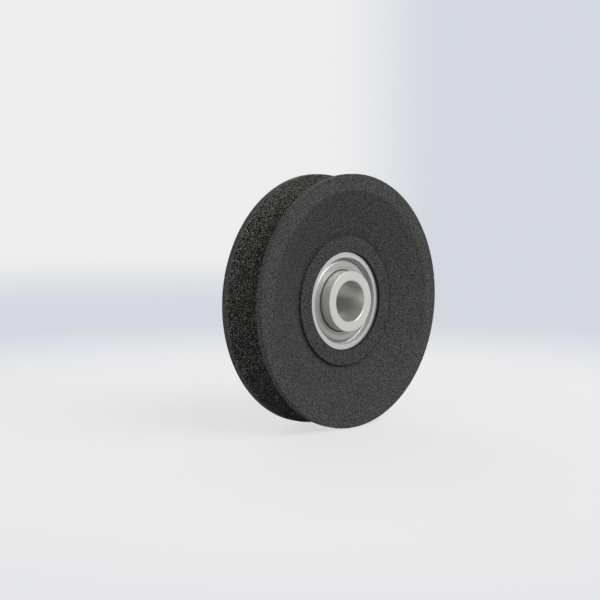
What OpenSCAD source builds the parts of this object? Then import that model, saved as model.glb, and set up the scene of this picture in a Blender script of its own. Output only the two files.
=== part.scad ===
// V-groove track wheel: a cast wheel with a shielded ball bearing pressed into its hub.
// The bearing's inner ring runs long on both sides and seats on the axle.
// Millimetres. The wheel spins about Y, its centre is the origin and its front faces -Y.

/* [Wheel] */
// Outside diameter over the two rim lands
wheel_d = 90; // [87:1:108]
// Width across the two rim faces
wheel_w = 19.6; // [17.6:0.1:26]
// Radial width of the flat ring on each rim face
rim_face_w = 5.8; // [3:0.1:8]
// Thickness of the dished web where it meets the hub boss
web_t = 10.15; // [9:0.05:10.5]
// Rounding of the outer rim edges
rim_round = 0.2; // [0.1:0.1:1]

/* [Groove] */
// Width of the groove's mouth
groove_w = 14.7; // [11:0.1:16]
// Angle between the groove's two flanks, in degrees
groove_angle = 90; // [70:1:110]
// Width of the flat at the groove's root
root_w = 1.5; // [0.5:0.1:3]
// Width of the broken edge between each flank and its land
mouth_break = 0.3; // [0.1:0.1:0.8]

/* [Hub] */
// Diameter of the raised boss round the bearing
boss_d = 46; // [42:0.1:54]
// Width across the two boss faces
hub_w = 12.3; // [12.2:0.1:16]
// Rounding of the boss's edges
boss_round = 0.2; // [0.1:0.05:0.25]
// Radius of the fillet between the boss and the web
foot_fillet = 0.6; // [0.3:0.05:0.6]
// Chamfer at each mouth of the bearing seat
seat_chamfer = 0.15; // [0.1:0.05:0.6]

/* [Bearing rings] */
// Outside diameter of the bearing, and the hub's bore
bearing_d = 35; // [34:0.5:38]
// Width of the outer ring
bearing_w = 10.4; // [10.2:0.1:12]
// Bore of the inner ring, which takes the axle
bore_d = 14.5; // [12:0.5:16]
// Length of the inner ring over both of its extensions
inner_ring_l = 16.2; // [13:0.1:24]
// Chamfer at each end of the bore
bore_chamfer = 0.3; // [0.1:0.05:0.6]
// Chamfer on the outside corners of both rings
ring_chamfer = 0.15; // [0.1:0.05:0.4]
// Height of the shoulders beside each ball track
shoulder_h = 1.2; // [1:0.1:1.4]

/* [Balls and cage] */
// Diameter of each ball
ball_d = 5.5; // [5.1:0.1:5.6]
// Radial clearance between a ball and either track
ball_clear = 0.03; // [0.01:0.01:0.05]
// Radius of a track's cross-section, as a share of the ball's diameter
conformity = 0.52; // [0.51:0.005:0.54]
// Thickness of the cage's sheet
cage_t = 0.4; // [0.3:0.05:0.5]
// Radial width of the cage's ribbon
cage_w = 2.4; // [2:0.1:2.6]
// Clearance between a ball and its cage pocket
pocket_clear = 0.1; // [0.05:0.01:0.15]
// Diameter of the rivet shanks
rivet_d = 0.8; // [0.6:0.1:1]
// Diameter of the rivet heads
rivet_head_d = 1.5; // [1.3:0.1:1.7]
// Height of the rivet heads
rivet_head_h = 0.4; // [0.2:0.05:0.5]

/* [Shields] */
// Thickness of the shield's sheet
shield_t = 0.3; // [0.2:0.05:0.35]
// Depth of the shield's flat below the outer ring's face
shield_depth = 1.2; // [1:0.05:1.4]
// Radial width of the step in the outer ring that the shield seats on
shield_seat_w = 1.6; // [1.4:0.1:1.8]
// Depth of the channel pressed round the shield, below its flat
channel_depth = 0.88; // [0.7:0.01:0.95]
// Slope of the channel's inner side, in degrees
channel_slope = 36.87; // [30:0.01:45]
// Radius of the bend between the channel and the shield's curled rim
channel_bend = 0.35; // [0.2:0.05:0.4]
// Radius of the bend between the shield's flat and the channel
flat_bend = 0.3; // [0.2:0.05:0.4]
// Height of the shield's curled rim above the channel
shield_rim_h = 0.55; // [0.45:0.05:0.7]
// Depth of the groove in the outer ring that holds the curled rim
rim_groove_depth = 0.35; // [0.3:0.05:0.45]
// Radial width of the lip round the shield's hole
lip_w = 0.9; // [0.5:0.05:1]
// Drop of that lip below the flat
lip_drop = 0.2; // [0.1:0.05:0.25]
// Radial gap between the shield's lip and the inner ring
lip_gap = 0.2; // [0.15:0.05:0.3]

/* [Hidden] */
$fn = 120;

ball_count = 8;
ball_step = 360 / ball_count;

wheel_r = wheel_d / 2;
rim_y = wheel_w / 2;
mouth_y = groove_w / 2;
root_y = root_w / 2;
root_r = wheel_r - (mouth_y - root_y) / tan(groove_angle / 2);
dish_r = wheel_r - rim_face_w;
boss_r = boss_d / 2;
web_y = web_t / 2;
hub_y = hub_w / 2;

bearing_r = bearing_d / 2;
bearing_y = bearing_w / 2;
bore_r = bore_d / 2;
inner_ring_y = inner_ring_l / 2;
pitch_r = (bore_r + bearing_r) / 2;
ball_r = ball_d / 2;
track_r = conformity * ball_d;
inner_shoulder_r = pitch_r - ball_r + shoulder_h;
outer_shoulder_r = pitch_r + ball_r - shoulder_h;
inner_track_at = pitch_r - ball_r - ball_clear + track_r;
outer_track_at = pitch_r + ball_r + ball_clear - track_r;

shield_y = bearing_y - shield_depth;
channel_y = shield_y - channel_depth;
channel_under_y = channel_y - shield_t;
shield_top_y = channel_y + shield_rim_h;
shield_seat_r = outer_shoulder_r + shield_seat_w;
rim_groove_r = shield_seat_r + rim_groove_depth;
lip_r = inner_shoulder_r + lip_gap;

pocket_r = ball_r + pocket_clear;
cage_r = pitch_r - cage_w / 2;
rivet_r = rivet_d / 2;
head_r = rivet_head_d / 2;

function mirrored(half) = concat(half, [for (i = [len(half) - 1:-1:0]) [half[i].x, -half[i].y]]);

// Lays what is built about Z along the axle line, with its top towards the front
module on_axle() {
    rotate([90, 0, 0]) children();
}

// Cutter that rounds the square corner p, where a face at height p.y ends at radius p.x
module round_corner(p, rho) {
    difference() {
        translate(p - [rho, rho]) square(2 * rho);
        translate(p - [rho, sign(p.y) * rho]) circle(rho);
    }
}

module at_balls() {
    for (i = [0:ball_count - 1]) rotate(i * ball_step) translate([pitch_r, 0, 0]) children();
}

module at_rivets() {
    for (i = [0:ball_count - 1]) rotate((i + 0.5) * ball_step) translate([pitch_r, 0, 0]) children();
}

// Casting: two rim flanges with the groove between them, dished webs and a bored hub
module wheel_section() {
    break_y = mouth_break * sin(groove_angle / 2);
    break_r = mouth_break * cos(groove_angle / 2);
    dish_slope = (rim_y - web_y) / (dish_r - boss_r);
    slope_length = sqrt(1 + dish_slope * dish_slope);
    foot = [boss_r + foot_fillet, web_y + foot_fillet * (dish_slope + slope_length)];
    difference() {
        polygon(mirrored([
            [root_r, root_y],
            [wheel_r - break_r, mouth_y - break_y],
            [wheel_r, mouth_y + break_y],
            [wheel_r, rim_y],
            [dish_r, rim_y],
            foot + foot_fillet / slope_length * [dish_slope, -1],
            [boss_r, foot.y],
            [boss_r, hub_y],
            [bearing_r + seat_chamfer, hub_y],
            [bearing_r, hub_y - seat_chamfer]
        ]));
        for (s = [-1, 1]) {
            round_corner([wheel_r, s * rim_y], rim_round);
            round_corner([boss_r, s * hub_y], boss_round);
            translate([foot.x, s * foot.y]) circle(foot_fillet);
        }
    }
}

module wheel_body() {
    color([0.24, 0.25, 0.25]) on_axle() rotate_extrude() wheel_section();
}

// Outer ring: ball track, shoulders, and on each side a step and a groove for the shield
module outer_ring() {
    color([0.74, 0.74, 0.72]) on_axle() rotate_extrude() difference() {
        polygon(mirrored([
            [outer_shoulder_r, channel_under_y],
            [rim_groove_r, channel_under_y],
            [rim_groove_r, shield_top_y],
            [shield_seat_r, shield_top_y],
            [shield_seat_r, bearing_y],
            [bearing_r - ring_chamfer, bearing_y],
            [bearing_r, bearing_y - ring_chamfer]
        ]));
        translate([outer_track_at, 0]) circle(track_r);
    }
}

// Inner ring: ball track, and plain extensions that stand out past the shields
module inner_ring() {
    color([0.80, 0.80, 0.77]) on_axle() rotate_extrude() difference() {
        polygon(mirrored([
            [bore_r, inner_ring_y - bore_chamfer],
            [bore_r + bore_chamfer, inner_ring_y],
            [inner_shoulder_r - ring_chamfer, inner_ring_y],
            [inner_shoulder_r, inner_ring_y - ring_chamfer]
        ]));
        translate([inner_track_at, 0]) circle(track_r);
    }
}

// Pressed shield: a flat with a lowered lip round its hole, then a channel whose outer side
// curls up into the outer ring's groove. Each bend is cut tangent to both of its neighbours.
module shield() {
    step_r = lip_r + lip_w;
    rim_r = rim_groove_r - shield_t;
    bend = [rim_r - channel_bend, channel_y + channel_bend];
    slope_foot = bend - channel_bend * [sin(channel_slope), cos(channel_slope)];
    corner = [slope_foot.x - (shield_y - slope_foot.y) / tan(channel_slope), shield_y];
    bend_reach = flat_bend * tan(channel_slope / 2);
    under_shift = [-shield_t * tan(channel_slope / 2), -shield_t];
    slope_end = [slope_foot.x + (slope_foot.y - channel_y) / tan(channel_slope), channel_y];
    fall = bend_reach * [cos(channel_slope), -sin(channel_slope)];
    rotate_extrude() difference() {
        polygon([
            [lip_r, shield_y - lip_drop],
            [lip_r, shield_y - lip_drop - shield_t],
            [step_r, shield_y - lip_drop - shield_t],
            [step_r + lip_drop, shield_y - shield_t],
            corner + under_shift,
            slope_end + under_shift,
            [rim_groove_r, channel_under_y],
            [rim_groove_r, shield_top_y],
            [rim_r, shield_top_y],
            [rim_r, bend.y],
            slope_foot,
            corner,
            [step_r + lip_drop, shield_y],
            [step_r, shield_y - lip_drop]
        ]);
        translate(bend) circle(channel_bend);
        difference() {
            polygon([
                corner - [bend_reach, 0],
                corner - [bend_reach, flat_bend],
                corner + fall,
                corner + [0, flat_bend]
            ]);
            translate(corner - [bend_reach, flat_bend]) circle(flat_bend);
        }
    }
}

module shield_front() {
    color([0.62, 0.62, 0.60]) on_axle() shield();
}

module shield_back() {
    color([0.62, 0.62, 0.60]) on_axle() mirror([0, 0, 1]) shield();
}

module ball(i) {
    color([0.85, 0.85, 0.86]) on_axle() rotate((i - 1) * ball_step) translate([pitch_r, 0, 0]) sphere(ball_r);
}

// Ribbon cage half: flats between the balls and a domed pocket over each ball
module cage_half() {
    dome_r = pocket_r + cage_t;
    difference() {
        intersection() {
            rotate_extrude() translate([cage_r, 0]) square([cage_w, dome_r + cage_t]);
            union() {
                rotate_extrude() translate([cage_r, 0]) square([cage_w, cage_t]);
                at_balls() sphere(dome_r);
            }
        }
        at_balls() sphere(pocket_r);
        at_rivets() cylinder(r = rivet_r, h = 3 * cage_t, center = true);
    }
}

module cage_front() {
    color([0.70, 0.70, 0.70]) on_axle() cage_half();
}

module cage_back() {
    color([0.70, 0.70, 0.70]) on_axle() mirror([0, 0, 1]) cage_half();
}

// Domed rivets through the flats of both cage halves
module cage_rivets() {
    dome_r = (head_r * head_r + rivet_head_h * rivet_head_h) / (2 * rivet_head_h);
    head_top = cage_t + rivet_head_h;
    color([0.55, 0.55, 0.55]) on_axle() at_rivets() union() {
        cylinder(r = rivet_r, h = 2 * cage_t, center = true);
        for (s = [0, 1]) mirror([0, 0, s]) intersection() {
            translate([0, 0, cage_t]) cylinder(r = head_r, h = rivet_head_h);
            translate([0, 0, head_top - dome_r]) sphere(dome_r);
        }
    }
}

wheel_body();
outer_ring();
inner_ring();
shield_front();
shield_back();
ball(1);  // ball_1
ball(2);  // ball_2
ball(3);  // ball_3
ball(4);  // ball_4
ball(5);  // ball_5
ball(6);  // ball_6
ball(7);  // ball_7
ball(8);  // ball_8
cage_front();
cage_back();
cage_rivets();
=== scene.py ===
import math

import bmesh
import bpy
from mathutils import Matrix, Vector


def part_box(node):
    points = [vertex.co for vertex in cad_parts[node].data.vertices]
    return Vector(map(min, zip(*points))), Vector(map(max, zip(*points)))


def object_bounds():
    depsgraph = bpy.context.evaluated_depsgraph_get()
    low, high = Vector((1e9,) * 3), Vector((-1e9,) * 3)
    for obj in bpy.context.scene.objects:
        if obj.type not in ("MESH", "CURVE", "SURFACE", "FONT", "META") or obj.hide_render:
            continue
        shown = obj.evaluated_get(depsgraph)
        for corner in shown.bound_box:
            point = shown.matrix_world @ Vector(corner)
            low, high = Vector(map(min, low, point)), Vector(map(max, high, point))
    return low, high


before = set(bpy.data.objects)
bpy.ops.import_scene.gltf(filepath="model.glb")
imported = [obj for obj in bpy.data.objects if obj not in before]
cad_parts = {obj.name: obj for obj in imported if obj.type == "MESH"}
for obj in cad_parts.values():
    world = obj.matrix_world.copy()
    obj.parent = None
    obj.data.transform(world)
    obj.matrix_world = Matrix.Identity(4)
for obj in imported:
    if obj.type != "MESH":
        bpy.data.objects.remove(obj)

cad_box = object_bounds()


# Camera: a long lens that looks at the wheel's front from the left and a little above.
# The wheel sits right of the middle of the view.
camera_azimuth = math.radians(-44.85)
camera_elevation = math.radians(5.22)
camera_distance = 0.45275
camera_left_of_wheel = 0.012275
lens_mm = 75.72
sensor_mm = 36
nearest_seen = 0.01

toward_camera = Vector((
    math.sin(camera_azimuth) * math.cos(camera_elevation),
    -math.cos(camera_azimuth) * math.cos(camera_elevation),
    math.sin(camera_elevation),
))
camera_right = Vector((math.cos(camera_azimuth), math.sin(camera_azimuth), 0))
camera_data = bpy.data.cameras.new("camera")
camera_data.lens = lens_mm
camera_data.sensor_width = sensor_mm
camera_data.clip_start = nearest_seen
camera = bpy.data.objects.new("camera", camera_data)
camera.location = camera_distance * toward_camera - camera_left_of_wheel * camera_right
camera.rotation_euler = toward_camera.to_track_quat("Z", "Y").to_euler()
bpy.context.scene.collection.objects.link(camera)
bpy.context.scene.camera = camera


# Studio floor: a wide pale disc at the lowest point of the rim. The camera sees it evenly lit,
# with a soft shadow round the wheel's foot and a faintly blue band that the backdrop goes on
# with. It bounces some light up onto the wheel, and steel mirrors it as a part of the room.

def feed(owner, socket, value):
    """Links another node's output to a socket, or sets the socket to a plain value."""
    if isinstance(value, bpy.types.NodeSocket):
        owner.node_tree.links.new(value, socket)
    else:
        socket.default_value = value


def shader_node(owner, kind, **sockets):
    """Adds a node to a material or world. Each input is given by its name, or by number as in0."""
    node = owner.node_tree.nodes.new("ShaderNode" + kind)
    for name, value in sockets.items():
        key = int(name[2:]) if name[:2] == "in" else name.replace("_", " ")
        feed(owner, node.inputs[key], value)
    return node


def number_math(owner, operation, first, second=0.0):
    node = shader_node(owner, "Math", in0=first, in1=second)
    node.operation = operation
    return node.outputs["Value"]


def vector_math(owner, operation, first, second=(0, 0, 0)):
    """Works on vectors. A length or a dot product comes out as a number."""
    node = shader_node(owner, "VectorMath", in0=first, in1=second)
    node.operation = operation
    return node.outputs["Value" if operation in ("LENGTH", "DOT_PRODUCT") else "Vector"]


def mixed(owner, share, first, second):
    return shader_node(owner, "MixRGB", Fac=share, Color1=first, Color2=second).outputs["Color"]


def ramp(owner, value, start, end, first=0.0, last=1.0, kind="LINEAR"):
    """Goes from the first number to the last as the value goes from start to end."""
    node = shader_node(owner, "MapRange", Value=value, From_Min=start, From_Max=end,
                       To_Min=first, To_Max=last)
    node.interpolation_type = kind
    return node.outputs["Result"]


def facing(owner, place, direction, low_cosine, high_cosine):
    """How much a place lies towards a direction, from 0 at the low cosine to 1 at the high one."""
    aim = vector_math(owner, "NORMALIZE", place)
    cosine = vector_math(owner, "DOT_PRODUCT", aim, direction)
    return ramp(owner, cosine, low_cosine, high_cosine, kind="SMOOTHSTEP")


def room_tint(owner, place):
    """The room as shining steel sees it from the wheel: brightest above and at the front right,
    with a dark doorway at the back left."""
    room_bright = (0.83, 0.83, 0.83, 1)
    room_dim = (0.42, 0.42, 0.42, 1)
    doorway_dark = (0.08, 0.08, 0.08, 1)
    bright_side = (0.42, -0.60, 0.68)
    doorway_side = (-0.65, 0.70, 0.30)
    doorway_edge = 0.5
    doorway_inside = 0.8
    upwards = (0, 0, 1)
    sill_bottom = -0.27
    sill_top = -0.21
    room = mixed(owner, facing(owner, place, bright_side, -1.0, 1.0), room_dim, room_bright)
    above_sill = facing(owner, place, upwards, sill_bottom, sill_top)
    within_edge = facing(owner, place, doorway_side, doorway_edge, doorway_inside)
    in_doorway = number_math(owner, "MULTIPLY", above_sill, within_edge)
    return mixed(owner, in_doorway, room, doorway_dark)


def backdrop_tint(owner, place):
    """A pale backdrop that turns faintly blue towards the right of the view."""
    pale_until = 0.02
    blue_past = 0.115
    to_the_right = facing(owner, place, camera_right, pale_until, blue_past)
    return mixed(owner, to_the_right, backdrop_pale, backdrop_blue)


def new_material(name):
    """Gives a new material and its shader."""
    material = bpy.data.materials.new(name)
    material.use_nodes = True
    return material, material.node_tree.nodes["Principled BSDF"]


floor_z = cad_box[0][2]
floor_radius = 40.0
floor_corners = 64
backdrop_pale = (0.85, 0.85, 0.855, 1)
backdrop_blue = (0.665, 0.69, 0.75, 1)
blue_from = 0.13
blue_in_full = 0.36
backdrop_from = 0.40
backdrop_in_full = 1.1
shadow_from = 0.05
shadow_reach = 0.3
shadow_strength = 0.25
floor_bounce = (0.20, 0.20, 0.20, 1)
floor_roughness = 0.9

floor_mesh = bmesh.new()
bmesh.ops.create_circle(floor_mesh, cap_ends=True, segments=floor_corners, radius=floor_radius)
bmesh.ops.translate(floor_mesh, verts=floor_mesh.verts, vec=(0, 0, floor_z))
floor_data = bpy.data.meshes.new("floor")
floor_mesh.to_mesh(floor_data)
floor_mesh.free()
floor = bpy.data.objects.new("floor", floor_data)
bpy.context.scene.collection.objects.link(floor)

paper, paper_shader = new_material("pale_paper")
floor_place = shader_node(paper, "TexCoord").outputs["Object"]
floor_distance = vector_math(paper, "LENGTH", floor_place)
blue_share = ramp(paper, floor_distance, blue_from, blue_in_full, kind="SMOOTHSTEP")
near_tint = mixed(paper, blue_share, backdrop_pale, backdrop_blue)
far_share = ramp(paper, floor_distance, backdrop_from, backdrop_in_full, kind="SMOOTHSTEP")
floor_tint = mixed(paper, far_share, near_tint, backdrop_tint(paper, floor_place))
shadow_share = ramp(paper, floor_distance, shadow_from, shadow_reach, shadow_strength, 0.0)
floor_ray = shader_node(paper, "LightPath")
seen = floor_ray.outputs["Is Camera Ray"]
mirrored = floor_ray.outputs["Is Glossy Ray"]
seen_glow = number_math(paper, "SUBTRACT", seen, shadow_share)
glow_share = number_math(paper, "MAXIMUM", seen_glow, mirrored)
glow_tint = mixed(paper, mirrored, floor_tint, room_tint(paper, floor_place))
floor_glow = shader_node(paper, "Emission", Color=glow_tint)
feed(paper, paper_shader.inputs["Base Color"], mixed(paper, seen, floor_bounce, backdrop_pale))
feed(paper, paper_shader.inputs["Roughness"], floor_roughness)
floor_mix = shader_node(paper, "MixShader", Fac=glow_share,
                        in1=paper_shader.outputs["BSDF"], in2=floor_glow.outputs["Emission"])
paper_output = paper.node_tree.nodes["Material Output"]
feed(paper, paper_output.inputs["Surface"], floor_mix.outputs["Shader"])
floor_data.materials.append(paper)


# Studio light: an even sky, a soft key lamp high in front, and weaker lamps to the left, to the
# right and behind. The camera sees the backdrop in the sky's place, and steel mirrors the room.
sky_tint = (0.22, 0.22, 0.22, 1)

world = bpy.data.worlds.new("studio")
world.use_nodes = True
world_aim = shader_node(world, "TexCoord").outputs["Generated"]
sky_light = shader_node(world, "Background", Color=sky_tint)
room_light = shader_node(world, "Background", Color=room_tint(world, world_aim))
sky_seen = shader_node(world, "Background", Color=backdrop_tint(world, world_aim))
world_ray = shader_node(world, "LightPath")
sky_or_room = shader_node(world, "MixShader", Fac=world_ray.outputs["Is Glossy Ray"],
                          in1=sky_light.outputs["Background"],
                          in2=room_light.outputs["Background"])
sky_mix = shader_node(world, "MixShader", Fac=world_ray.outputs["Is Camera Ray"],
                      in1=sky_or_room.outputs["Shader"], in2=sky_seen.outputs["Background"])
world_output = world.node_tree.nodes["World Output"]
feed(world, world_output.inputs["Surface"], sky_mix.outputs["Shader"])
bpy.context.scene.world = world
bpy.context.scene.view_settings.view_transform = "Standard"


def soft_lamp(name, place, size, watts):
    """A round lamp that faces the wheel."""
    lamp_data = bpy.data.lights.new(name, "AREA")
    lamp_data.shape = "DISK"
    lamp_data.size = size
    lamp_data.energy = watts
    lamp = bpy.data.objects.new(name, lamp_data)
    lamp.location = place
    lamp.rotation_euler = Vector(place).to_track_quat("Z", "Y").to_euler()
    bpy.context.scene.collection.objects.link(lamp)


soft_lamp("key_lamp", place=(0.20, -0.94, 0.72), size=1.1, watts=11.0)
soft_lamp("left_lamp", place=(-1.19, -0.10, 0.02), size=0.6, watts=7.5)
soft_lamp("back_lamp", place=(0.46, 1.06, 0.30), size=0.9, watts=8.0)
soft_lamp("right_lamp", place=(1.06, 0.56, 0.10), size=0.5, watts=3.0)


# Wheel body: one iron casting, left as cast with a dark, matt, finely grained skin. The groove's
# skin is coarser and darker, partly as painted shade, with bright specks that are painted glints.
# The hub's mouth, the boss, its foot and the dish are painted darker than the rim as shade, each
# in its own ring.

def noise(owner, place, grains_per_metre, detail, roughness=0.5):
    return shader_node(owner, "TexNoise", Vector=place, Scale=grains_per_metre,
                       Detail=detail, Roughness=roughness).outputs["Fac"]


def from_axle_and_middle(owner, place):
    """How far a place is from the axle, and how far along the axle from the wheel's middle."""
    axes = shader_node(owner, "SeparateXYZ", Vector=place).outputs
    square_x = number_math(owner, "MULTIPLY", axes["X"], axes["X"])
    square_z = number_math(owner, "MULTIPLY", axes["Z"], axes["Z"])
    radius = number_math(owner, "SQRT", number_math(owner, "ADD", square_x, square_z))
    return radius, number_math(owner, "ABSOLUTE", axes["Y"])


def dress(material, *nodes):
    """Gives pieces of the wheel their material."""
    for node in nodes:
        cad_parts[node].material_slots[0].material = material


skin_dark = (0.008, 0.008, 0.008, 1)
skin_light = (0.176, 0.181, 0.178, 1)
skin_dark_at = 0.38
skin_light_at = 0.72
fine_grain = 3100.0
# Groove: near black, partly coarse grain and partly painted shade, with painted glints as specks.
groove_dark_and_shade = (0.002, 0.002, 0.002, 1)
groove_glint_tint = (0.66, 0.645, 0.595, 1)
groove_dark_at = 0.60
groove_glint_at = 0.70
coarse_grain = 5400.0
groove_half_width = 0.0072
groove_inner_radius = 0.036
grain_tilt = (0.6, 0.4, 0.8)
grain_height = 0.00006
grain_strength = 0.5
hub_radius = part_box("outer_ring")[1][0]
boss_radius = 0.023
foot_radius = 0.0252
dish_radius = 0.0392
wheel_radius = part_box("wheel_body")[1][0]
# Painted shade: the hub's mouth, the boss, its foot and the dish are darker than the rim.
mouth_painted_shade = 0.32
boss_painted_shade = 0.84
foot_painted_shade = 0.52
dish_painted_shade = 0.82
rim_tone = 1.0
painted_shade_by_radius = (
    (hub_radius + 0.0001, mouth_painted_shade), (hub_radius + 0.0003, boss_painted_shade),
    (boss_radius - 0.0001, boss_painted_shade), (boss_radius - 0.00004, foot_painted_shade),
    (foot_radius, dish_painted_shade), (dish_radius - 0.0003, dish_painted_shade),
    (dish_radius + 0.0003, rim_tone), (wheel_radius - 0.0005, rim_tone))
rim_edge_radius = wheel_radius - 0.0003
rim_edge_tint = (1.0, 0.98, 0.92, 1)
shade_ramp_reach = 0.05
patches_per_metre = 120.0
skin_smoothest = 0.7
skin_roughest = 0.85
skin_shine = 0.15

skin, skin_shader = new_material("cast_skin")
skin_place = shader_node(skin, "TexCoord").outputs["Object"]
skin_radius, skin_across = from_axle_and_middle(skin, skin_place)
in_groove = number_math(
    skin, "MULTIPLY", number_math(skin, "LESS_THAN", skin_across, groove_half_width),
    number_math(skin, "GREATER_THAN", skin_radius, groove_inner_radius))
tilted = shader_node(skin, "Mapping", Vector=skin_place, Rotation=grain_tilt).outputs["Vector"]
grain = noise(skin, tilted, fine_grain, detail=1.0, roughness=0.6)
lumps = noise(skin, tilted, coarse_grain, detail=1.0, roughness=0.6)
patches = noise(skin, skin_place, patches_per_metre, detail=3.0)
fine_tint = mixed(skin, ramp(skin, grain, skin_dark_at, skin_light_at), skin_dark, skin_light)
# The groove's tint: painted shade with bright specks of painted glint.
groove_shade_and_glints = mixed(
    skin, ramp(skin, lumps, groove_dark_at, groove_glint_at), groove_dark_and_shade, groove_glint_tint)

# A ramp by radius paints this shade on the skin's tint, with a warm tint at the rim's outer edge.
shade_ramp_place = number_math(skin, "MULTIPLY", skin_radius, 1 / shade_ramp_reach)
painted_shade_and_rim_tint = shader_node(skin, "ValToRGB", Fac=shade_ramp_place)
shade_and_rim_stops = painted_shade_and_rim_tint.color_ramp.elements
shade_and_rim_stops.remove(shade_and_rim_stops[0])
shade_and_rim_stops[0].color = (1, 1, 1, 1)
for stop_radius, stop_shade in painted_shade_by_radius:
    shade_and_rim_stops.new(stop_radius / shade_ramp_reach).color = (stop_shade, stop_shade, stop_shade, 1)
shade_and_rim_stops.new(rim_edge_radius / shade_ramp_reach).color = rim_edge_tint

shaded_skin_tint = vector_math(skin, "MULTIPLY", fine_tint, painted_shade_and_rim_tint.outputs["Color"])
grain_relief = shader_node(skin, "Bump", Height=mixed(skin, in_groove, grain, lumps),
                           Strength=grain_strength, Distance=grain_height)
feed(skin, skin_shader.inputs["Base Color"], mixed(skin, in_groove, shaded_skin_tint, groove_shade_and_glints))
feed(skin, skin_shader.inputs["Normal"], grain_relief.outputs["Normal"])
feed(skin, skin_shader.inputs["Roughness"],
     ramp(skin, patches, 0.0, 1.0, skin_smoothest, skin_roughest))
feed(skin, skin_shader.inputs["Specular IOR Level"], skin_shine)
dress(skin, "wheel_body")


# Bearing outer ring: hardened steel, ground bright, with fine lines round its axis. It is
# pressed into the hub, with its faces just below those of the boss.

def turned_steel(name, tint, roughness, lines_per_metre, metallic=0.75, inside=None):
    """Bright steel with fine lines round its axis, as grinding or pressing leaves. Where inside is
    given, the steel has another tint and roughness within a radius, and it may be less metallic."""
    line_height = 0.00002
    line_strength = 0.1
    clouds_per_metre = 220.0
    clouds_smooth = 0.88
    clouds_rough = 1.12
    steel, shader = new_material(name)
    place = shader_node(steel, "TexCoord").outputs["Object"]
    radius, across = from_axle_and_middle(steel, place)
    if inside is not None:
        outside = number_math(steel, "GREATER_THAN", radius, inside["radius"])
        tint = mixed(steel, outside, inside["tint"], tint)
        roughness = ramp(steel, outside, 0.0, 1.0, inside["roughness"], roughness)
        if "metallic" in inside:
            metallic = ramp(steel, outside, 0.0, 1.0, inside["metallic"], metallic)
    line_place = shader_node(steel, "CombineXYZ", X=number_math(steel, "ADD", radius, across))
    lines = noise(steel, line_place.outputs["Vector"], lines_per_metre, detail=2.0)
    relief = shader_node(steel, "Bump", Height=lines, Strength=line_strength, Distance=line_height)
    clouds = noise(steel, place, clouds_per_metre, detail=3.0)
    cloudy = ramp(steel, clouds, 0.0, 1.0, clouds_smooth, clouds_rough)
    feed(steel, shader.inputs["Base Color"], tint)
    feed(steel, shader.inputs["Metallic"], metallic)
    feed(steel, shader.inputs["Roughness"], number_math(steel, "MULTIPLY", cloudy, roughness))
    feed(steel, shader.inputs["Normal"], relief.outputs["Normal"])
    return steel


outer_ring_steel = turned_steel(
    "outer_ring_steel", (0.63, 0.63, 0.625, 1), roughness=0.30, lines_per_metre=9000.0)
dress(outer_ring_steel, "outer_ring")


# Bearing inner ring: hardened steel, ground all over, with its bore honed smoother. It runs on
# past the bearing on both sides, to space the wheel on its axle.
bore_finish = {"radius": 0.0073, "tint": (0.62, 0.62, 0.585, 1), "roughness": 0.32, "metallic": 0.6}
inner_ring_steel = turned_steel(
    "inner_ring_steel", (0.65, 0.65, 0.613, 1), roughness=0.46, lines_per_metre=9000.0,
    inside=bore_finish)
dress(inner_ring_steel, "inner_ring")


# Shields: thin steel sheet, pressed to a stepped ring and snapped into grooves in the outer
# ring. The ring round the hole of each is painted dark, as shade in the gap by the inner ring.
# Painted shade: the lip round the hole is dark for the shaded gap next to the inner ring.
lip_painted_shade = {"radius": 0.0113, "tint": (0.09, 0.09, 0.088, 1), "roughness": 0.5}
shield_steel = turned_steel(
    "shield_steel", (0.45, 0.45, 0.438, 1), roughness=0.40, lines_per_metre=5000.0,
    inside=lip_painted_shade)
dress(shield_steel, "shield_front", "shield_back")


# Balls: eight of chrome steel, ground and polished. They run in the tracks between the rings,
# out of sight behind the shields.
ball_steel = turned_steel(
    "ball_steel", (0.75, 0.75, 0.76, 1), roughness=0.10, lines_per_metre=2000.0, metallic=1.0)
dress(ball_steel, *(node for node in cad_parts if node.startswith("ball_")))


# Cage: two ribbons of pressed steel sheet with a pocket round each ball, held together by small
# rivets between the balls.
cage_steel = turned_steel(
    "cage_steel", (0.55, 0.55, 0.54, 1), roughness=0.38, lines_per_metre=5000.0)
dress(cage_steel, "cage_front", "cage_back", "cage_rivets")
